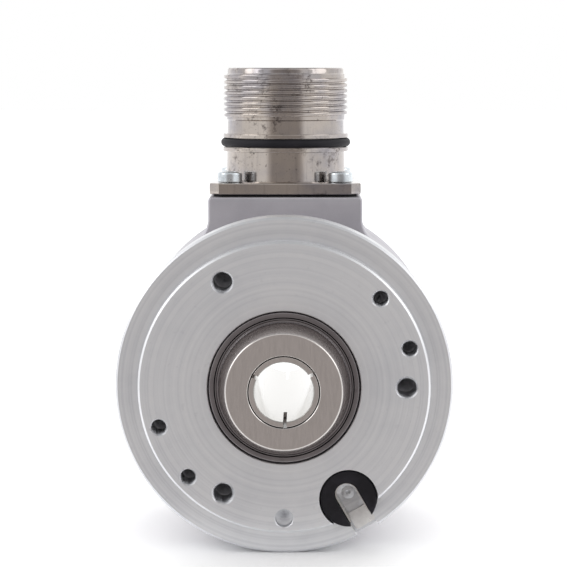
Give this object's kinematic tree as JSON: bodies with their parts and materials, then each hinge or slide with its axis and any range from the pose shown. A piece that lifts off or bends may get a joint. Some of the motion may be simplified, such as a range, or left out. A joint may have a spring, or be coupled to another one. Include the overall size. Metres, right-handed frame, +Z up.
{
  "type": "rotary encoder",
  "caption": "Round hollow-shaft rotary encoder with a centring flange, a rubber torque-pin slot, a rear clamp ring and an upright threaded round connector.",
  "frame": {"origin": "on the shaft axis, in the plane of the flange's mounting face", "axes": "-Y along the shaft axis out of the flange, +Z up through the connector, +X to the right seen from the flange"},
  "size_m": [0.058, 0.069, 0.0834],
  "materials": {
    "flange_aluminium": "turned, fine concentric tool marks",
    "housing_aluminium": "satin, blasted and clear anodised",
    "shaft_steel": "turned stainless steel, finely polished",
    "bearing_steel": "ground",
    "spring_steel": "rolled sheet",
    "zinc_steel": "bright zinc plated",
    "nickel_brass": "nickel plated",
    "contact_gold": "gold plated",
    "turned_brass": "plain turned",
    "black_rubber": "matte moulded",
    "insert_plastic": "moulded",
    "chip_plastic": "moulded",
    "header_plastic": "moulded",
    "board_laminate": "glass-fibre laminate with green resist",
    "ribbon_film": "flat laminated leads",
    "disc_glass": "polished"
  },
  "bodies": {
    "encoder_body": {"front_flange": "flange_aluminium", "housing": "housing_aluminium", "rear_cover": "housing_aluminium", "torque_clip": "spring_steel", "preload_washer": "spring_steel", "bearing_circlip": "spring_steel", "front_bearing_shield": "spring_steel", "rear_bearing_shield": "spring_steel", "connector_shell": "nickel_brass", "housing_seal": "black_rubber", "torque_rubber": "black_rubber", "rear_shaft_seal": "black_rubber", "connector_gasket": "black_rubber", "connector_o_ring": "black_rubber", "connector_insert": "insert_plastic", "led_holder": "chip_plastic", "sensor_chip": "chip_plastic", "board_header": "header_plastic", "circuit_board": "board_laminate", "ribbon_cable": "ribbon_film", "scanning_reticle": "disc_glass", "front_bearing_outer_ring": "bearing_steel", "rear_bearing_outer_ring": "bearing_steel", "cover_screw_1": "zinc_steel", "board_screw_1": "zinc_steel", "board_standoff_1": "turned_brass", "cover_screw_2": "zinc_steel", "board_screw_2": "zinc_steel", "board_standoff_2": "turned_brass", "cover_screw_3": "zinc_steel", "board_screw_3": "zinc_steel", "board_standoff_3": "turned_brass", "connector_screw_1": "zinc_steel", "connector_screw_2": "zinc_steel", "connector_screw_3": "zinc_steel", "connector_screw_4": "zinc_steel", "contact_pin_1": "contact_gold", "contact_pin_2": "contact_gold", "contact_pin_3": "contact_gold", "contact_pin_4": "contact_gold", "contact_pin_5": "contact_gold", "contact_pin_6": "contact_gold", "contact_pin_7": "contact_gold", "contact_pin_8": "contact_gold", "contact_pin_9": "contact_gold", "contact_pin_10": "contact_gold", "contact_pin_11": "contact_gold", "contact_pin_12": "contact_gold"},
    "rotor": {"hollow_shaft": "shaft_steel", "reducing_sleeve": "shaft_steel", "clamp_ring": "flange_aluminium", "clamp_screw": "zinc_steel", "front_bearing_inner_ring": "bearing_steel", "rear_bearing_inner_ring": "bearing_steel", "bearing_spacer": "bearing_steel", "disc_hub": "flange_aluminium", "code_disc": "disc_glass", "disc_clamping_ring": "flange_aluminium"},
    "front_ball_set": {"front_ball_cage": "bearing_steel"},
    "rear_ball_set": {"rear_ball_cage": "bearing_steel"}
  },
  "joints": [
    {"name": "shaft_spin", "type": "hinge", "parent": "encoder_body", "child": "rotor", "pos_m": [0, 0, 0], "axis": [0, -1, 0], "continuous": true},
    {"name": "front_balls_spin", "type": "hinge", "parent": "encoder_body", "child": "front_ball_set", "pos_m": [0, 0, 0], "axis": [0, -1, 0], "continuous": true},
    {"name": "rear_balls_spin", "type": "hinge", "parent": "encoder_body", "child": "rear_ball_set", "pos_m": [0, 0, 0], "axis": [0, -1, 0], "continuous": true}
  ],
  "couplings": [
    {"joint": "front_balls_spin", "follows": "shaft_spin", "ratio": 0.4512},
    {"joint": "rear_balls_spin", "follows": "shaft_spin", "ratio": 0.4512}
  ]
}
